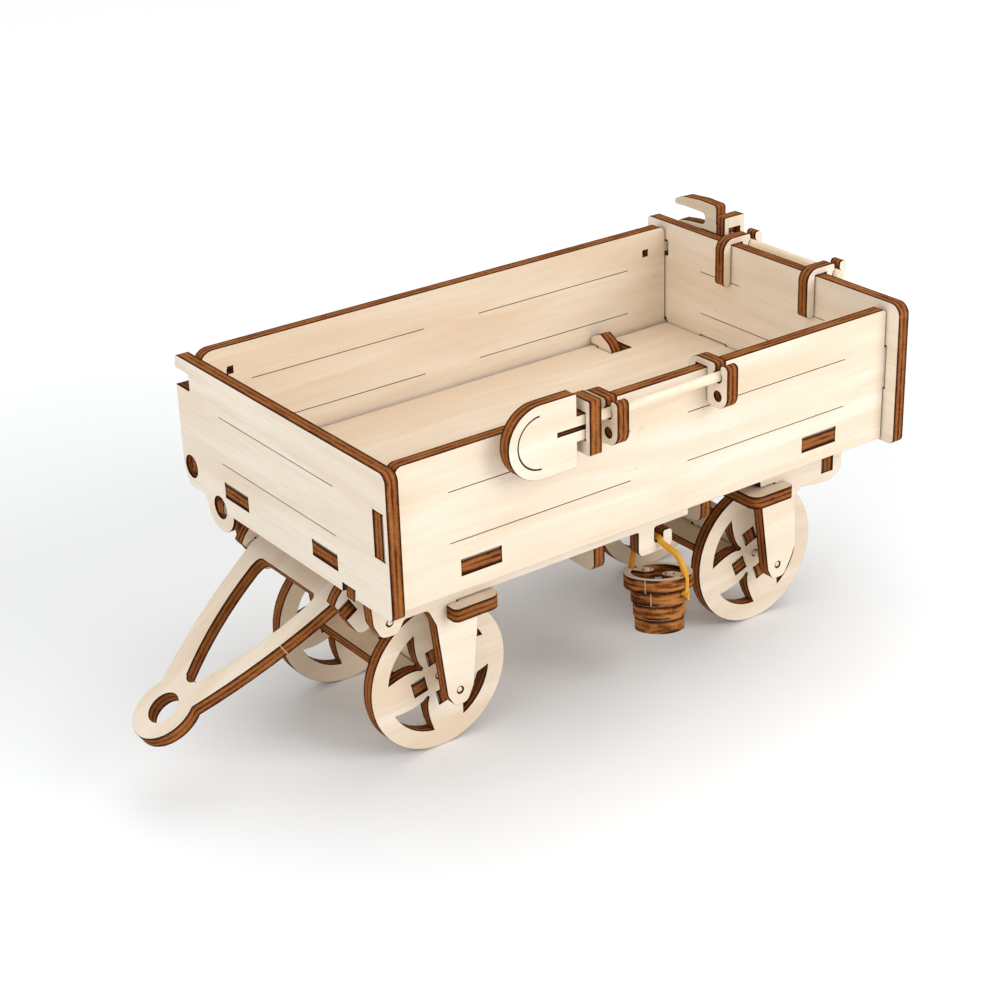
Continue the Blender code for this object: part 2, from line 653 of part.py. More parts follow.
def make_shovel(bed):
    """Shovel hung on the near board: blade, round handle and the collar that joins them."""
    pivot = empty("shovel_slide_pivot", -Vector(TIP_AXIS), bed)
    blade_x, blade_z, blade_r = 33.5, 28.35, 7.7
    neck, prong_end, handle_end = 42.1, 45.4, 82.4
    collar_x = 44.0
    rod_z = BOARD_TOP - ROD_DROP
    tail_z = rod_z - 0.5
    nose = arc(blade_x, blade_z, blade_r, 90, 270, 8.0)
    outline = rounded(
        *nose, (neck, blade_z - blade_r, 0.5), *prongs(tail_z, 37.4, neck, prong_end),
        (neck, blade_z + blade_r, 0.5))
    mark = arc_groove(blade_x, blade_z, 5.5, 92, 270)
    mesh = sheet_mesh("shovel", "Y", SHOVEL_Y, outline, grooves=[mark])
    add_piece(mesh, pivot, VENEER)
    start = prong_end + FIT
    mesh = sheet_mesh("shovel_handle", "X", start, circle(-ROD_OFF, rod_z, ROD_R),
                      thickness=handle_end - start)
    add_piece(mesh, pivot, VENEER)
    collar = rounded((-6.4, 22.8, 0.4), (-0.3, 22.8, 0.4), (-0.3, 34.2, 0.4), (-6.4, 34.2, 0.4))
    window = slot(SHOVEL_Y, SHOVEL_Y + SHEET, tail_z - 2.7, tail_z + 2.7)
    add_piece(sheet_mesh("shovel_collar", "X", collar_x, collar, [window]), pivot, PANEL)


def make_fork(bed):
    """Two-tined fork hung on the tailgate, with its round handle and collar."""
    pivot = empty("fork_slide_pivot", -Vector(TIP_AXIS), bed)
    neck, prong_end, handle_end = 60.8, 57.6, 20.8
    collar_y = 56.0
    rod_z = REAR_TOP - ROD_DROP
    tail_z = rod_z - 0.4
    tail = prongs(tail_z, 66.0, neck, prong_end)
    outline = rounded(
        *tail, (neck, 37.5, 0.8), (66.4, 37.7, 3.0), (72.6, 37.2, 3.0), (75.9, 35.9, 1.3),
        (75.5, 34.7, 0.7), (72.0, 34.9), (64.9, 34.8, 1.2), (64.7, 32.1, 1.2), (70.2, 31.7),
        (74.0, 31.2, 0.8), (75.2, 29.6, 1.0), (73.5, 28.3, 1.0), (68.0, 27.3, 3.0),
        (neck, 27.2, 0.6))
    add_piece(sheet_mesh("fork", "X", FORK_X, outline), pivot, VENEER)
    middle = FORK_X + SHEET / 2
    start = prong_end - FIT
    mesh = sheet_mesh("fork_handle", "Y", handle_end, circle(middle, rod_z, ROD_R),
                      thickness=start - handle_end)
    add_piece(mesh, pivot, VENEER)
    collar = rounded((134.0, 24.7, 0.4), (140.2, 24.7, 0.4), (140.2, 36.0, 0.4),
                     (134.0, 36.0, 0.4))
    window = slot(FORK_X, FORK_X + SHEET, tail_z - 2.7, tail_z + 2.7)
    add_piece(sheet_mesh("fork_collar", "Y", collar_y, collar, [window]), pivot, PANEL)


# ---------------------------------------------------------------- bucket

def lobed_opening(radius):
    """Round opening of a ring, narrowed by two lobes on its x axis that carry the pegs."""
    edge = math.degrees(math.asin(LOBE_R / radius))
    return (arc(0, 0, radius, edge, 180 - edge) + arc(-PEG_X, 0, LOBE_R, 90, -90)
            + arc(0, 0, radius, 180 + edge, 360 - edge) + arc(PEG_X, 0, LOBE_R, 270, 90))


def rim_outline(radius, notch_depth, notch_half):
    """A disc with a notch for the band at each end of its x axis."""
    edge = math.degrees(math.asin(notch_half / radius))
    floor = radius - notch_depth
    return (arc(0, 0, radius, edge, 180 - edge, 8.0)
            + [(-floor, notch_half), (-floor, -notch_half)]
            + arc(0, 0, radius, 180 + edge, 360 - edge, 8.0)
            + [(floor, -notch_half), (floor, notch_half)])


def bucket_stand():
    """Place of the bucket's rim: x towards the near notch, z along the bucket's own axis."""
    lean = Vector((0, 0, 1)).rotation_difference(Vector(BUCKET_UP)).to_matrix().to_4x4()
    top = Matrix.Translation(Vector(BUCKET_TOP) - Vector(HOOK_AXIS))
    return top @ lean @ Matrix.Rotation(math.radians(BAND_TURN), 4, "Z")


def make_bucket(root):
    """Bucket of stacked rings joined by two pegs, hung from the hook by a rubber band."""
    pivot = empty("bucket_pivot", HOOK_AXIS, root)
    stand = bucket_stand()
    stand.translation *= MM
    pegs = [circle(x, 0, PEG_R + FIT) for x in (-PEG_X, PEG_X)]
    wall = 1.7
    names = ("bucket_rim", "bucket_ring_upper", "bucket_ring_lower", "bucket_base")
    for i, (name, radius) in enumerate(zip(names, BUCKET_RADII)):
        outline = circle(0, 0, radius, 8.0)
        openings = [lobed_opening(radius - wall)]
        if i == 0:
            outline = rim_outline(radius, BAND_NOTCH, 0.95)
        if i == len(names) - 1:
            openings = []
        mesh = sheet_mesh(name, "Z", -SHEET - BUCKET_STEP * i, outline, openings + pegs)
        add_piece(mesh, pivot, BUCKET_BROWN, local=stand)
    length = SHEET + BUCKET_STEP * (len(names) - 1) + 0.3
    for side, x in (("near", PEG_X), ("far", -PEG_X)):
        mesh = sheet_mesh(f"bucket_peg_{side}", "Z", 0.3 - length, circle(x, 0, PEG_R),
                          thickness=length)
        add_piece(mesh, pivot, VENEER, local=stand)
    make_band(pivot)


def band_strand(side, out, rise):
    """One half of the band, from over the hook down through the rim's notch on that side.

    side is 1 for the near half and -1 for the far one; out and rise say how its middle bulges.
    """
    stand = bucket_stand()
    notch = side * (BUCKET_RADII[0] - BAND_NOTCH + BAND_R + 0.2)
    at_rim = stand @ Vector((notch, 0, 0.2))
    below = stand @ Vector((notch, 0, -SHEET - 0.8))
    over = Vector((0, -side * 1.75, 0.05))
    bend = Vector((0.15, -side * 2.6, -0.85))
    middle = bend.lerp(at_rim, 0.45) + Vector((0.3, -side * out, rise))
    return [over, bend, middle, at_rim, below]


def smooth_curve(points, per_span):
    """Points of a Catmull-Rom curve through the given ones."""
    padded = [2 * points[0] - points[1]] + points + [2 * points[-1] - points[-2]]
    curve = []
    for a, b, c, d in zip(padded, padded[1:], padded[2:], padded[3:]):
        for k in range(per_span):
            t = k / per_span
            curve.append(0.5 * (2 * b + (c - a) * t + (2 * a - 5 * b + 4 * c - d) * t ** 2
                                + (3 * b - a - 3 * c + d) * t ** 3))
    curve.append(points[-1])
    return curve


def make_band(pivot):
    data = bpy.data.curves.new("bucket_band", "CURVE")
    data.dimensions = "3D"
    data.bevel_depth = BAND_R * MM
    data.bevel_resolution = 2
    data.use_fill_caps = True
    near = band_strand(1, 1.0, 0.9)
    far = band_strand(-1, 2.2, -0.5)
    route = near[::-1] + [Vector((0, 0, 0.1))] + far
    points = smooth_curve(route, 5)
    spline = data.splines.new("POLY")
    spline.points.add(len(points) - 1)
    for knot, point in zip(spline.points, points):
        knot.co = (*(point * MM), 1.0)
    data.materials.append(material("bucket_band_rubber", RUBBER, 0.45))
    band = bpy.data.objects.new("bucket_band", data)
    band.parent = pivot
    bpy.context.collection.objects.link(band)


# ---------------------------------------------------------------- build

def main():
    for existing in list(bpy.data.objects):
        bpy.data.objects.remove(existing)
    root = empty("trailer", (-BOX_MID_X, -BOX_MID_Y, -GROUND_Z))
    bed = make_bed(root)
    make_drop_side(bed)
    make_chassis(root)
    make_drawbar(root)
    for place, x, turn in zip(("front", "rear"), AXLE_X, WHEELSET_TURN):
        make_wheelset(root, place, x, turn)
    make_shovel(bed)
    make_fork(bed)
    make_bucket(root)


main()
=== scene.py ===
"""Looks of the laser-cut plywood trailer: pale birch faces, burnt cut edges and engraved lines.

Every wooden piece stands for its CAD node, on the same body. Sheets keep the node's shape with
worn rims, and sticks are turned truly round. The rubber band is the node itself, with a knot added.
"""

import json
import math
from typing import NamedTuple

import bmesh
import bpy
from mathutils import Matrix, Vector


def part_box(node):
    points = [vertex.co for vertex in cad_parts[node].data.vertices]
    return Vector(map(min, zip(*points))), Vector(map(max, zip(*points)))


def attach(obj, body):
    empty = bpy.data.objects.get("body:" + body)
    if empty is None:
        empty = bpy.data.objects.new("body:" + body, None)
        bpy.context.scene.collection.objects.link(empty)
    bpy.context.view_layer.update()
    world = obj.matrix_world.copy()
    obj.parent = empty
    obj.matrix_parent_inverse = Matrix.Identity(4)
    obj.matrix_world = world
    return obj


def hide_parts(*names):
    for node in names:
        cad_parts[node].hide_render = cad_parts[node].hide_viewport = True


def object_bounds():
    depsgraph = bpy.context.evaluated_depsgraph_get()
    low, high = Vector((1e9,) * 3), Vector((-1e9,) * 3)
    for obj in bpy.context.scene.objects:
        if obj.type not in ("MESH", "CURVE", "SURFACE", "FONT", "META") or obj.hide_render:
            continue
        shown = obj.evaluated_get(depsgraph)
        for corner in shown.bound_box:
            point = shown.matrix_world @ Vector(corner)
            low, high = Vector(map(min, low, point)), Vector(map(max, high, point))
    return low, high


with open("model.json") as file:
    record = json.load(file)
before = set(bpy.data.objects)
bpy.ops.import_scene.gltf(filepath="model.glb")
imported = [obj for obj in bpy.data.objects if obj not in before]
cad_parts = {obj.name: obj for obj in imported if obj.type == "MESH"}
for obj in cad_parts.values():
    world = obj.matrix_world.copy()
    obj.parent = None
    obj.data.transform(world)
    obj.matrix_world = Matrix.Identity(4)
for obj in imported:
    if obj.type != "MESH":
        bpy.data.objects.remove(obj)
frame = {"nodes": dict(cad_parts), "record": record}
cad_low, cad_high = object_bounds()

MM = 0.001
GROUND_Z = cad_low.z
SHARP_ANGLE = math.radians(50)  # faces that meet at more than this keep a crisp edge

# ---------------------------------------------------------------- sizes and places

# Camera: its place from the front near corner of the bed, where the front panel's outer face
# meets the near board's outer face and underside
BED_CORNER = Vector((
    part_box("front_panel")[0].x,
    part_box("near_board")[0].y,
    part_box("near_board")[0].z,
))
CAMERA_FROM_CORNER = Vector((-191.589, -305.709, 194.892)) * MM
CAMERA_FORWARD = Vector((0.52533, 0.73497, -0.42878))
CAMERA_ROLL = math.radians(-1.901)
LENS_MM = 77.99
SENSOR_MM = 36.0
CLIP_NEAR = 0.01
CLIP_FAR = 20.0

# Studio, in metres and watts
FLOOR_HALF = 9.0
FLOOR_DROP = 0.02 * MM          # the floor lies this much under the wheels
FLOOR_FADE = (0.12, 0.45)       # the floor turns from its painted shade near the object to its far white between these
FLOOR_GLOW = 0.16               # its own light beyond that
HORIZON_FADE = (0.5, 1.8)       # and it glows more between these, so that no horizon shows
HORIZON_GLOW = 0.34
ROOM_LIGHT = 0.54
SOFTBOXES = (                   # name, place from the object's middle, side, power
    ("softbox_over", (0.10, 0.10, 0.90), 0.9, 3.4),
    ("softbox_right", (0.40, -0.80, 0.42), 0.6, 5.2),
    ("softbox_left", (-0.90, -0.30, 0.45), 0.6, 2.6),
)

# Sheets
SHEET = 3.0 * MM
RIM_BEVEL = 0.13 * MM           # worn arris along a cut edge
RIM_SEGMENTS = 2
MERGE = 0.002 * MM
FLAT_ANGLE = math.radians(0.6)  # faces within this of each other are one flat face
BROAD_SHARE = 0.15              # a sheet's face holds at least this share of its surface
GROOVE_LIMIT_MM = 1.38          # a face nearer to the sheet's middle than this is a groove's floor
PLY_RAMP_MM = 1.6               # the edge's colours run over this depth from the sheet's middle
MIDDLE_PLY_MM = (0.85, 1.25)    # the middle ply fades out between these depths
BRIDGE_HALF_MM = 0.09           # half width of the pale mark where a bridge was snapped

# Sticks
STICK_EASE = 0.14 * MM          # rounding of the ends
STICK_SLACK = 0.02 * MM         # keeps the waviness inside the CAD stick
STICK_WAVE = 0.012 * MM
STICK_SPANS = 24
STICK_SIDES = 40

# The rubber band's knot, in mm from the band's near end
KNOT_STRAND = 0.34 * MM
KNOT_WIDTH = 0.28
KNOT_HEIGHT = 0.30
KNOT_DROP = 0.15
KNOT_STEPS = 14
KNOT_START = (0, 0, 0.5)
KNOT_TAIL = ((0.25, -0.35, -0.9), (0.45, -0.55, -1.6))

# ---------------------------------------------------------------- colours, linear

# Painted shade: the floor's colour near the object, a little grey and blue
FLOOR_NEAR_SHADE = (0.93, 0.945, 0.955)
WHITE = (1.0, 1.0, 1.0)
VENEER_PALE = (0.865, 0.765, 0.640)
VENEER_DEEP = (0.745, 0.600, 0.440)
VENEER_GRAIN = (0.62, 0.44, 0.27)
VENEER_PORE = (0.42, 0.26, 0.14)
VENEER_FLECK = (0.50, 0.30, 0.15)
BURNT_CORE = (0.080, 0.024, 0.008)
BURNT_PLY = (0.330, 0.106, 0.027)
BURNT_SEAR = (0.120, 0.034, 0.010)
BURNT_DARK = (0.030, 0.008, 0.003)
BURNT_LIGHT = (0.470, 0.178, 0.048)
BRIDGE_PALE = (0.620, 0.430, 0.260)
SCORCH = (0.360, 0.260, 0.180)
ARC_SCORCH = (0.045, 0.014, 0.006)
STICK_PALE = (0.860, 0.740, 0.580)
STICK_DEEP = (0.740, 0.580, 0.400)
STICK_GRAIN = (0.55, 0.37, 0.22)
STICK_PORE = (0.36, 0.21, 0.11)
STICK_RING = (0.42, 0.26, 0.15)
# Painted shade, partly burn: the dark ring round a stick's sawn end
STICK_END_RIM_BURN_AND_SHADE = (0.16, 0.075, 0.035)
RUBBER = (0.520, 0.215, 0.005)
RUBBER_LIGHT = (0.680, 0.330, 0.010)

# Burnt edge, from the sheet's middle out to its face
PLY_STOPS = (
    (0.00, BURNT_CORE), (0.09, BURNT_CORE), (0.20, BURNT_PLY),
    (0.44, BURNT_PLY), (0.64, BURNT_SEAR), (0.81, BURNT_DARK))

# Noise frequencies per mm: along the grain, across it, and through the sheet
FIGURE = (0.016, 0.13, 0.1)
GRAIN = (0.05, 1.5, 0.6)
PORES = (0.45, 8.0, 2.0)
FLECKS = (0.22, 0.5, 0.4)
WANDER = (0.40, 0.40, 0.1)
RIDGES = (5.0, 5.0, 0.35)
PATCHES = (0.12, 0.12, 0.5)
STREAKS = (0.16, 0.16, 0.95)
STICK_FIGURE = (0.05, 0.6, 0.6)
STICK_GRAIN_LINES = (0.12, 3.2, 3.2)
STICK_PORES = (0.5, 9.0, 9.0)

# How far the wood's pattern shifts from one piece to the next, in mm
SHEET_SHIFT = (37.0, 11.0)
STICK_SHIFT = 23.0

# ---------------------------------------------------------------- what differs between pieces

STICKS = ("drawbar_rod", "shovel_handle", "fork_handle", "bucket_peg_near", "bucket_peg_far",
          "axle_front_pin_near", "axle_front_pin_far", "axle_rear_pin_near", "axle_rear_pin_far")
BUCKET_LAYERS = ("bucket_rim", "bucket_ring_upper", "bucket_ring_lower", "bucket_base")
BUCKET_BURN = 0.25

# Depth of the veneer's colour, where it isn't the one that the piece's number gives
# Painted shade: the axle plates, cross plates and far wheels get deeper, browner veneer for the
# warm shade under the bed
FACE_TONE_AND_SHADE = {"bed_floor": 0.45, "drop_side": 0.08, "rear_panel": -0.05, "front_panel": -0.15,
             "wheel_front_near": 0.35, "wheel_rear_near": 0.30, "wheel_front_far": 0.80,
             "wheel_rear_far": 0.80, "axle_front_plate_near": 0.9, "axle_front_plate_far": 0.9,
             "axle_rear_plate_near": 0.9, "axle_rear_plate_far": 0.9, "cross_plate_end": 0.6,
             "cross_plate_middle": 0.6, "cross_plate_rear": 0.6}

# Snapped bridges, as shares of the node's box from its lowest to its highest corner
BRIDGES = {
    "drawbar_plate": ((0.62, 0.12, 0.62), (0.45, 0.80, 0.45)),
    "wheel_front_near": ((0.02, 0.0, 0.38), (0.9, 1.0, 0.85)),
    "wheel_rear_near": ((0.10, 0.0, 0.20),),
    "wheel_front_far": ((0.55, 0.0, 0.0),),
    "rear_panel": ((1.0, 0.0, 0.86), (1.0, 0.35, 1.0)),
    "bucket_rim": ((0.02, 0.25, 0.5),),
    "bucket_ring_upper": ((0.05, 0.22, 0.5),),
    "bolster_front": ((0.4, 0.0, 0.5),),
}


class Lie(NamedTuple):
    """How a flat sheet lies at rest; middle is its middle plane's place along the normal."""

    normal: Vector
    middle: float
    grain: Vector


class Look(NamedTuple):
    """Its first field deepens the face veneer, and on the pieces under the bed this is painted
    shade; burn darkens the edges, scorch colours the engraving.
    """

    tone: float
    burn: float
    scorch: tuple


# ---------------------------------------------------------------- camera, floor and light

def add(name, data):
    """A new object in the scene."""
    made = bpy.data.objects.new(name, data)
    bpy.context.scene.collection.objects.link(made)
    return made


def make_camera():
    """The camera that took the photograph: its place from the bed's corner, and its angles."""
    data = bpy.data.cameras.new("camera")
    data.lens = LENS_MM
    data.sensor_width = SENSOR_MM
    data.clip_start = CLIP_NEAR
    data.clip_end = CLIP_FAR
    camera = add("camera", data)
    forward = CAMERA_FORWARD.normalized()
    level_right = forward.cross(Vector((0, 0, 1))).normalized()
    level_up = level_right.cross(forward)
    right = math.cos(CAMERA_ROLL) * level_right + math.sin(CAMERA_ROLL) * level_up
    up = -math.sin(CAMERA_ROLL) * level_right + math.cos(CAMERA_ROLL) * level_up
    turn = Matrix((right, up, -forward)).transposed()
    place = BED_CORNER + CAMERA_FROM_CORNER
    camera.matrix_world = Matrix.Translation(place) @ turn.to_4x4()
    bpy.context.scene.camera = camera


def make_floor():
    """A plain white sweep that the trailer stands on."""
    mesh = bpy.data.meshes.new("studio_floor")
    half = FLOOR_HALF
    corners = [(-half, -half), (half, -half), (half, half), (-half, half)]
    mesh.from_pydata([(x, y, GROUND_Z - FLOOR_DROP) for x, y in corners], [], [(0, 1, 2, 3)])
    floor = add("studio_floor", mesh)
    mesh.materials.append(floor_material())


def floor_material():
    """Matt white with painted shade near the object, growing brighter with the distance from the
    object, partly by a painted glow.
    """
    t = Tree("studio_white")
    coords = t.nodes.new("ShaderNodeTexCoord")
    away = t.nodes.new("ShaderNodeVectorMath")
    away.operation = "LENGTH"
    t.put(away.inputs[0], coords.outputs["Object"])
    far = t.spread(away.outputs["Value"], *FLOOR_FADE, smooth=True)
    # painted shade near the object, turning to white farther out
    t.put(t.shader.inputs["Base Color"], t.mix(far, FLOOR_NEAR_SHADE, WHITE))
    t.shader.inputs["Roughness"].default_value = 0.9
    t.shader.inputs["Specular IOR Level"].default_value = 0.1
    t.shader.inputs["Emission Color"].default_value = (*WHITE, 1)
    horizon = t.spread(away.outputs["Value"], *HORIZON_FADE, 0.0, HORIZON_GLOW, smooth=True)
    t.put(t.shader.inputs["Emission Strength"],
          t.math("ADD", t.math("MULTIPLY", far, FLOOR_GLOW), horizon))
    return t.material


def make_lights():
    """One soft light overhead, a softbox on either side of the camera and a bright room."""
    middle = (cad_low + cad_high) / 2
    for name, offset, side, power in SOFTBOXES:
        data = bpy.data.lights.new(name, "AREA")
        data.shape = "SQUARE"
        data.size = side
        data.energy = power
        light = add(name, data)
        place = middle + Vector(offset)
        light.location = place
        light.rotation_euler = (middle - place).to_track_quat("-Z", "Y").to_euler()
    world = bpy.data.worlds.new("studio")
    world.use_nodes = True
    background = world.node_tree.nodes["Background"]
    background.inputs["Color"].default_value = (*WHITE, 1)
    background.inputs["Strength"].default_value = ROOM_LIGHT
    bpy.context.scene.world = world
    bpy.context.scene.view_settings.view_transform = "Standard"
    bpy.context.scene.view_settings.look = "None"


# ---------------------------------------------------------------- node helpers

class Tree:
    """Short calls for building a material's nodes."""

    def __init__(self, name):
        self.material = bpy.data.materials.new(name)
        self.material.use_nodes = True
        self.nodes = self.material.node_tree.nodes
        self.links = self.material.node_tree.links
        self.shader = self.nodes["Principled BSDF"]

    def put(self, socket, value):
        """Links a socket to the input, or sets the input to a number or a colour."""
        if isinstance(value, bpy.types.NodeSocket):
            self.links.new(value, socket)
        elif isinstance(value, (tuple, Vector)) and len(value) == 3 and socket.type == "RGBA":
            socket.default_value = (*value, 1.0)
        else:
            socket.default_value = value

    def math(self, operation, a, b=0.0):
        node = self.nodes.new("ShaderNodeMath")
        node.operation = operation
        self.put(node.inputs[0], a)
        self.put(node.inputs[1], b)
        return node.outputs[0]

    def vector(self, operation, a, constant):
        """A vector operation whose second vector is constant."""
        node = self.nodes.new("ShaderNodeVectorMath")
        node.operation = operation
        self.put(node.inputs[0], a)
        node.inputs[1].default_value = tuple(constant)
        return node.outputs["Value" if operation == "DOT_PRODUCT" else "Vector"]

    def dot(self, a, constant):
        return self.vector("DOT_PRODUCT", a, constant)

    def combine(self, x, y, z):
        node = self.nodes.new("ShaderNodeCombineXYZ")
        for socket, value in zip(node.inputs, (x, y, z)):
            self.put(socket, value)
        return node.outputs[0]

    def noise(self, place, detail=3.0, roughness=0.55, distortion=0.0, scale=1.0):
        node = self.nodes.new("ShaderNodeTexNoise")
        self.put(node.inputs["Vector"], place)
        node.inputs["Scale"].default_value = scale
        node.inputs["Detail"].default_value = detail
        node.inputs["Roughness"].default_value = roughness
        node.inputs["Distortion"].default_value = distortion
        return node.outputs["Fac"]

    def wood_noise(self, place, frequency, **settings):
        """Noise stretched by a frequency for each of the wood's three directions."""
        return self.noise(self.vector("MULTIPLY", place, frequency), **settings)

    def spread(self, value, low, high, to_low=0.0, to_high=1.0, smooth=False):
        """Maps low..high to to_low..to_high, clamped."""
        node = self.nodes.new("ShaderNodeMapRange")
        node.interpolation_type = "SMOOTHSTEP" if smooth else "LINEAR"
        self.put(node.inputs["Value"], value)
        node.inputs["From Min"].default_value = low
        node.inputs["From Max"].default_value = high
        node.inputs["To Min"].default_value = to_low
        node.inputs["To Max"].default_value = to_high
        return node.outputs["Result"]

    def mix(self, factor, a, b):
        node = self.nodes.new("ShaderNodeMix")
        node.data_type = "RGBA"
        self.put(node.inputs["Factor"], factor)
        self.put(node.inputs["A"], a)
        self.put(node.inputs["B"], b)
        return node.outputs["Result"]

    def ramp(self, value, stops):
        node = self.nodes.new("ShaderNodeValToRGB")
        self.put(node.inputs["Fac"], value)
        elements = node.color_ramp.elements
        while len(elements) < len(stops):
            elements.new(0.5)
        for element, (place, colour) in zip(elements, stops):
            element.position = place
            element.color = (*colour, 1.0)
        return node.outputs["Color"]

    def bump(self, height, distance_mm, strength, after=None):
        """A bump, laid over another one where after is given."""
        node = self.nodes.new("ShaderNodeBump")
        node.inputs["Strength"].default_value = strength
        node.inputs["Distance"].default_value = distance_mm * MM
        self.put(node.inputs["Height"], height)
        if after is not None:
            self.links.new(after, node.inputs["Normal"])
        return node.outputs["Normal"]


# ---------------------------------------------------------------- plywood

def ply_material(name, lie, look, seed, bridges):
    """Birch plywood: veneer on the faces, burnt plies on the cut edges, scorched grooves.

    bridges are the spots where the piece was snapped out of its sheet, left pale on the edge.
    """
    t = Tree(name)
    across = lie.normal.cross(lie.grain).normalized()
    coords = t.nodes.new("ShaderNodeTexCoord")
    here = coords.outputs["Object"]
    along_mm = t.math("ADD", t.dot(here, lie.grain / MM), seed * SHEET_SHIFT[0])
    across_mm = t.math("ADD", t.dot(here, across / MM), seed * SHEET_SHIFT[1])
    depth_mm = t.math("SUBTRACT", t.dot(here, lie.normal / MM), lie.middle / MM)
    place = t.combine(along_mm, across_mm, depth_mm)
    depth = t.math("ABSOLUTE", depth_mm)
    facing = t.math("ABSOLUTE", t.dot(coords.outputs["Normal"], lie.normal))
    is_face = t.spread(facing, 0.80, 0.96, smooth=True)
    is_edge = t.math("SUBTRACT", 1.0, is_face)

    grain_lines = t.wood_noise(place, GRAIN, detail=5.0, roughness=0.65)
    pores = t.wood_noise(place, PORES, detail=2.0, roughness=0.5)
    ridges = t.wood_noise(place, RIDGES, detail=2.0, roughness=0.6)
    face = veneer_colour(t, place, grain_lines, pores, look.tone)
    face = t.mix(t.math("LESS_THAN", depth, GROOVE_LIMIT_MM), face, look.scorch)
    edge = burnt_colour(t, place, depth, ridges, look.burn)
    for spot in bridges:
        edge = bridge_mark(t, edge, here, spot, across, lie.grain)
    t.put(t.shader.inputs["Base Color"], t.mix(is_face, edge, face))

    face_rough = t.math("MULTIPLY", t.spread(grain_lines, 0.3, 0.8, 0.50, 0.66), is_face)
    edge_rough = t.math("MULTIPLY", t.spread(ridges, 0.3, 0.7, 0.62, 0.85), is_edge)
    t.put(t.shader.inputs["Roughness"], t.math("ADD", face_rough, edge_rough))
    t.put(t.shader.inputs["Specular IOR Level"], t.spread(is_face, 0.0, 1.0, 0.03, 0.30))
    relief = t.bump(grain_lines, 0.03, 0.5)
    relief = t.bump(t.math("MULTIPLY", pores, is_face), 0.02, 0.4, relief)
    relief = t.bump(t.math("MULTIPLY", ridges, is_edge), 0.10, 0.8, relief)
    t.links.new(relief, t.shader.inputs["Normal"])
    return t.material


def veneer_colour(t, place, grain_lines, pores, tone):
    """Face veneer: soft figure, fine grain, short dark pores and a few flecks."""
    figure = t.wood_noise(place, FIGURE, distortion=0.6)
    flecks = t.wood_noise(place, FLECKS, detail=2.0)
    # on the axle plates, cross plates and far wheels this added depth is painted shade
    shade = t.math("ADD", t.spread(figure, 0.35, 0.75), tone)
    face = t.mix(t.math("MINIMUM", shade, 1.0), VENEER_PALE, VENEER_DEEP)
    face = t.mix(t.spread(grain_lines, 0.52, 0.80, 0.0, 0.38), face, VENEER_GRAIN)
    face = t.mix(t.spread(pores, 0.66, 0.78, 0.0, 0.30), face, VENEER_PORE)
    return t.mix(t.spread(flecks, 0.74, 0.80, 0.0, 0.25), face, VENEER_FLECK)


def burnt_colour(t, place, depth, ridges, burn):
    """Cut edge: three plies, burnt, with lighter patches, laser ridges and dark streaks."""
    wander = t.wood_noise(place, WANDER, detail=4.0, roughness=0.65)
    patches = t.wood_noise(place, PATCHES, detail=2.0)
    streaks = t.wood_noise(place, STREAKS, detail=4.0, roughness=0.6)
    ply_place = t.math("DIVIDE", depth, PLY_RAMP_MM)
    ply_place = t.math("ADD", ply_place, t.spread(wander, 0.25, 0.75, -0.11, 0.11))
    edge = t.ramp(ply_place, PLY_STOPS)
    middle_ply = t.spread(depth, *MIDDLE_PLY_MM, 1.0, 0.0)
    lighter = t.math("MULTIPLY", t.spread(patches, 0.40, 0.70, 0.0, 0.55), middle_ply)
    edge = t.mix(lighter, edge, BURNT_LIGHT)
    edge = t.mix(t.spread(ridges, 0.42, 0.72, 0.0, 0.42 + 0.5 * burn), edge, BURNT_DARK)
    dark_share = min(0.70, 0.20 + 2.4 * burn)
    light_share = min(0.90, 3.6 * burn)
    edge = t.mix(t.spread(streaks, 0.50, 0.60, 0.0, dark_share), edge, BURNT_DARK)
    return t.mix(t.spread(streaks, 0.38, 0.50, light_share, 0.0), edge, BURNT_LIGHT)


def bridge_mark(t, edge, here, spot, across, grain):
    """The edge's colour with a pale mark through the sheet's whole thickness at spot."""
    apart = t.vector("SUBTRACT", here, spot)
    reaches = []
    for direction in (across, grain):
        away = t.math("ABSOLUTE", t.dot(apart, direction / MM))
        reaches.append(t.spread(away, BRIDGE_HALF_MM, BRIDGE_HALF_MM * 1.5, 1.0, 0.0))
    near = t.math("MULTIPLY", *reaches)
    return t.mix(t.math("MULTIPLY", near, 0.75), edge, BRIDGE_PALE)


def span_along(mesh, axis):
    reach = [v.co.dot(axis) for v in mesh.vertices]
    return max(reach) - min(reach)


def sheet_lie(mesh):
    """How a flat sheet lies: its normal is its thinnest way, its grain its longest way."""
    areas = {}
    for face in mesh.polygons:
        n = face.normal
        if n.dot(Vector((0.31, 0.22, 0.92))) < 0:  # opposite faces count as one direction
            n = -n
        key = tuple(round(c, 2) for c in n)
        area, _ = areas.get(key, (0.0, None))
        areas[key] = (area + face.area, n.copy())
    total = sum(area for area, _ in areas.values())
    broad = [n for area, n in areas.values() if area > BROAD_SHARE * total]
    normal = min(broad, key=lambda n: span_along(mesh, n))
    side = Vector((0, 1, 0)) if abs(normal.y) < 0.5 else Vector((1, 0, 0))
    side = (side - normal * side.dot(normal)).normalized()
    other = normal.cross(side).normalized()
    grain = other if span_along(mesh, other) > span_along(mesh, side) * 1.02 else side
    depths = [v.co.dot(normal) for v in mesh.vertices]
    return Lie(normal, (min(depths) + max(depths)) / 2, grain)


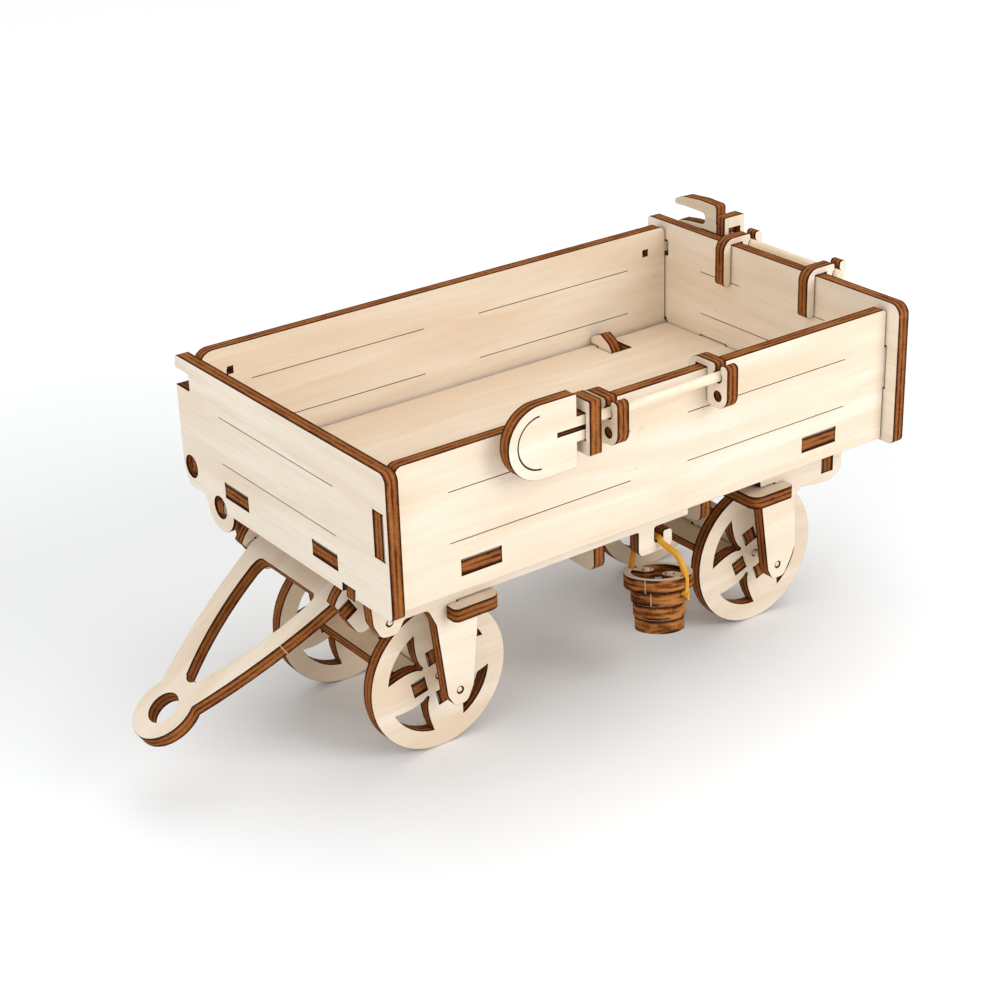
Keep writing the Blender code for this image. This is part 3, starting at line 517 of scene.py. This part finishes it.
def cut_rims(work, lie):
    """The edges where a sheet's face meets a wall that runs through most of the sheet."""

    def tilt(face):
        return abs(face.normal.dot(lie.normal))

    def off_middle(vertex):
        return abs(vertex.co.dot(lie.normal) - lie.middle)

    surface = max(off_middle(v) for v in work.verts) - 0.05 * MM
    rims = []
    for edge in work.edges:
        if len(edge.link_faces) != 2:
            continue
        wall, flat = sorted(edge.link_faces, key=tilt)
        heights = [v.co.dot(lie.normal) for v in wall.verts]
        deep = max(heights) - min(heights) > SHEET * 0.6
        on_surface = all(off_middle(v) > surface for v in edge.verts)
        if tilt(flat) > 0.98 and tilt(wall) < 0.3 and on_surface and deep:
            rims.append(edge)
    return rims


def bridge_spots(node, mesh):
    """The mesh's points nearest to the node's bridges."""
    low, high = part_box(node)
    spots = []
    for share in BRIDGES.get(node, ()):
        wanted = Vector(low[i] + (high[i] - low[i]) * share[i] for i in range(3))
        spots.append(min((v.co for v in mesh.vertices), key=lambda c: (c - wanted).length).copy())
    return spots


def finish_sheet(node, body, seed, look):
    """A shown copy of a CAD sheet with its cut rims softened and its plywood material."""
    mesh = frame["nodes"][node].data.copy()
    mesh.name = node + "_sheet"
    work = bmesh.new()
    work.from_mesh(mesh)
    bmesh.ops.remove_doubles(work, verts=work.verts, dist=MERGE)
    bmesh.ops.dissolve_limit(work, angle_limit=FLAT_ANGLE, verts=work.verts,
                             edges=work.edges, delimit=set())
    work.to_mesh(mesh)
    lie = sheet_lie(mesh)
    bmesh.ops.bevel(work, geom=cut_rims(work, lie), offset=RIM_BEVEL, segments=RIM_SEGMENTS,
                    profile=0.5, affect="EDGES", clamp_overlap=False)
    work.to_mesh(mesh)
    work.free()
    material = ply_material(node + "_birch", lie, look, seed, bridge_spots(node, mesh))
    piece = show_wood(node, body, node + "_sheet", mesh, material)
    weight = piece.modifiers.new("flat_faces", "WEIGHTED_NORMAL")
    weight.keep_sharp = True
    weight.weight = 100


def show_wood(node, body, name, mesh, material):
    """Shows a mesh in place of a CAD node, on the node's body."""
    mesh.materials.clear()
    mesh.shade_smooth()
    mesh.set_sharp_from_angle(angle=SHARP_ANGLE)
    mesh.materials.append(material)
    piece = add(name, mesh)
    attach(piece, body)
    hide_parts(node)
    return piece


# ---------------------------------------------------------------- round sticks

class Stick(NamedTuple):
    """Where a straight round stick lies; side and other point out of it, square to the axis."""

    axis: Vector
    side: Vector
    other: Vector
    middle: Vector
    half: float
    radius: float


def stick_lie(mesh):
    """How a stick lies. More faces point along its axis, on its ends, than any other way."""
    groups = {}
    for face in mesh.polygons:
        key = tuple(round(abs(c), 2) for c in face.normal)
        groups.setdefault(key, []).append(face.normal.copy())
    axis = max(groups.values(), key=len)[0].normalized()
    side = axis.orthogonal().normalized()
    middle = sum((v.co for v in mesh.vertices), Vector()) / len(mesh.vertices)
    half = max(abs((v.co - middle).dot(axis)) for v in mesh.vertices)
    radius = max((v.co - middle - axis * (v.co - middle).dot(axis)).length
                 for v in mesh.vertices)
    return Stick(axis, side, axis.cross(side), middle, half, radius)


def stick_material(name, stick, seed):
    """Bare birch stick: grain along it, growth rings and a darker rim on its sawn ends, partly burn
    and partly painted shade of the gap round the stick.
    """
    t = Tree(name)
    coords = t.nodes.new("ShaderNodeTexCoord")
    along, u, v = (
        t.math("SUBTRACT", t.dot(coords.outputs["Object"], way / MM), stick.middle.dot(way) / MM)
        for way in (stick.axis, stick.side, stick.other))
    place = t.combine(t.math("ADD", along, seed * STICK_SHIFT), u, v)
    grain = t.wood_noise(place, STICK_GRAIN_LINES, detail=4.0, roughness=0.6)
    pores = t.wood_noise(place, STICK_PORES, detail=2.0)
    figure = t.wood_noise(place, STICK_FIGURE, detail=2.0)
    skin = t.mix(t.spread(figure, 0.35, 0.70), STICK_PALE, STICK_DEEP)
    skin = t.mix(t.spread(grain, 0.50, 0.78, 0.0, 0.45), skin, STICK_GRAIN)
    skin = t.mix(t.spread(pores, 0.64, 0.78, 0.0, 0.30), skin, STICK_PORE)
    squares = t.math("ADD", t.math("MULTIPLY", u, u), t.math("MULTIPLY", v, v))
    out = t.math("SQRT", squares)
    off_centre = t.math("ADD", out, t.math("MULTIPLY", u, 0.4))
    rings = t.math("SINE", t.math("MULTIPLY", off_centre, 11.0))
    sawn = t.mix(t.spread(rings, 0.0, 1.0, 0.1, 0.45), STICK_PALE, STICK_RING)
    # painted shade, partly burn: a dark ring round the sawn end for the shaded gap between the
    # stick and its hole
    rim = t.spread(out, stick.radius / MM * 0.80, stick.radius / MM * 0.98)
    sawn = t.mix(t.math("MULTIPLY", rim, 0.6), sawn, STICK_END_RIM_BURN_AND_SHADE)
    facing = t.math("ABSOLUTE", t.dot(coords.outputs["Normal"], stick.axis))
    t.put(t.shader.inputs["Base Color"], t.mix(t.spread(facing, 0.6, 0.9), skin, sawn))
    t.put(t.shader.inputs["Roughness"], t.spread(grain, 0.3, 0.8, 0.50, 0.70))
    t.shader.inputs["Specular IOR Level"].default_value = 0.3
    t.links.new(t.bump(grain, 0.04, 0.6), t.shader.inputs["Normal"])
    return t.material


def stick_profile(half, radius, seed):
    """(place along the stick, radius there) from end to end, with eased ends."""
    ease = STICK_EASE
    profile = [(-half, radius - ease), (-half + ease * 0.4, radius - ease * 0.4)]
    for k in range(STICK_SPANS + 1):
        along = -half + ease + (2 * half - 2 * ease) * k / STICK_SPANS
        wave = STICK_WAVE * math.sin(k * 1.7 + seed)
        profile.append((along, radius - STICK_SLACK + wave))
    return profile + [(half - ease * 0.4, radius - ease * 0.4), (half, radius - ease)]


def finish_stick(node, body, seed):
    """A truly round stick with eased ends and a hint of hand-cut waviness."""
    stick = stick_lie(frame["nodes"][node].data)
    work = bmesh.new()
    rings = []
    for along, reach in stick_profile(stick.half, stick.radius, seed):
        ring = []
        for k in range(STICK_SIDES):
            angle = 2 * math.pi * k / STICK_SIDES
            out = stick.side * math.cos(angle) + stick.other * math.sin(angle)
            ring.append(work.verts.new(stick.middle + stick.axis * along + out * reach))
        rings.append(ring)
    for low, high in zip(rings, rings[1:]):
        for k in range(STICK_SIDES):
            n = (k + 1) % STICK_SIDES
            work.faces.new((low[k], low[n], high[n], high[k]))
    work.faces.new(rings[0][::-1])
    work.faces.new(rings[-1])
    mesh = bpy.data.meshes.new(node + "_stick")
    work.to_mesh(mesh)
    work.free()
    show_wood(node, body, node + "_stick", mesh, stick_material(node + "_wood", stick, seed))


# ---------------------------------------------------------------- all the wooden pieces

def finish_wood():
    """Every sheet and stick, numbered in the record's order so that each has its own grain."""
    seed = 0
    for body, nodes in frame["record"]["behaviour"]["bodies"].items():
        for node in nodes:
            seed += 1
            if node == "bucket_band":
                continue
            if node in STICKS:
                finish_stick(node, body, seed)
                continue
            # the veneer's depth, which is painted shade on the pieces under the bed
            look = Look(
                tone=FACE_TONE_AND_SHADE.get(node, 0.05 * (seed % 4)),
                burn=BUCKET_BURN if node in BUCKET_LAYERS else 0.0,
                scorch=ARC_SCORCH if node == "shovel" else SCORCH,
            )
            finish_sheet(node, body, seed, look)


# ---------------------------------------------------------------- rubber band

def rubber_material():
    """Amber rubber, a little translucent."""
    t = Tree("band_rubber")
    coords = t.nodes.new("ShaderNodeTexCoord")
    fine = t.noise(coords.outputs["Object"], scale=900.0)
    broad = t.noise(coords.outputs["Object"], detail=2.0, scale=160.0)
    t.put(t.shader.inputs["Base Color"], t.mix(t.spread(broad, 0.3, 0.7), RUBBER, RUBBER_LIGHT))
    t.put(t.shader.inputs["Roughness"], t.spread(fine, 0.3, 0.7, 0.35, 0.55))
    t.shader.inputs["Subsurface Weight"].default_value = 0.15
    t.shader.inputs["Subsurface Radius"].default_value = (0.001, 0.0006, 0.0002)
    t.shader.inputs["Subsurface Scale"].default_value = 0.5
    t.links.new(t.bump(fine, 0.03, 0.4), t.shader.inputs["Normal"])
    return t.material


def finish_band():
    """The band's own node, rounded, and the small knot that hangs under the rim."""
    rubber = rubber_material()
    band = frame["nodes"]["bucket_band"]
    band.data.materials.clear()
    band.data.materials.append(rubber)
    band.data.shade_smooth()
    mesh = knot_mesh(band_end(band))
    mesh.materials.clear()
    mesh.materials.append(rubber)
    mesh.shade_smooth()
    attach(add("band_knot", mesh), "bucket")


def band_end(band):
    """Middle of the lowest points at the band's near end."""
    points = [v.co for v in band.data.vertices]
    middle_y = sum(p.y for p in points) / len(points)
    near = [p for p in points if p.y < middle_y]
    lowest = min(p.z for p in near)
    ring = [p for p in near if p.z < lowest + 0.6 * MM]
    return sum(ring, Vector()) / len(ring)


def knot_points():
    """The strand's way through the knot: in from above, round a trefoil and out as a tail."""
    points = [KNOT_START]
    for k in range(KNOT_STEPS + 1):
        angle = 2 * math.pi * k / KNOT_STEPS
        points.append(((math.sin(angle) + 2 * math.sin(2 * angle)) * KNOT_WIDTH,
                       (math.cos(angle) - 2 * math.cos(2 * angle)) * KNOT_WIDTH,
                       -math.sin(3 * angle) * KNOT_HEIGHT - KNOT_DROP))
    return points + list(KNOT_TAIL)


def knot_mesh(end):
    """A round strand along the knot's points, hung from the band's end."""
    curve = bpy.data.curves.new("band_knot", "CURVE")
    curve.dimensions = "3D"
    curve.bevel_depth = KNOT_STRAND
    curve.bevel_resolution = 4
    curve.use_fill_caps = True
    points = knot_points()
    spline = curve.splines.new("NURBS")
    spline.points.add(len(points) - 1)
    for knot, point in zip(spline.points, points):
        knot.co = (*(end + Vector(point) * MM), 1.0)
    spline.order_u = 4
    spline.use_endpoint_u = True
    spline.resolution_u = 6
    holder = add("band_knot_curve", curve)
    bpy.context.view_layer.update()
    seen = holder.evaluated_get(bpy.context.evaluated_depsgraph_get())
    mesh = bpy.data.meshes.new_from_object(seen)
    bpy.data.objects.remove(holder)
    return mesh


def main():
    make_camera()
    make_floor()
    make_lights()
    finish_wood()
    finish_band()


main()
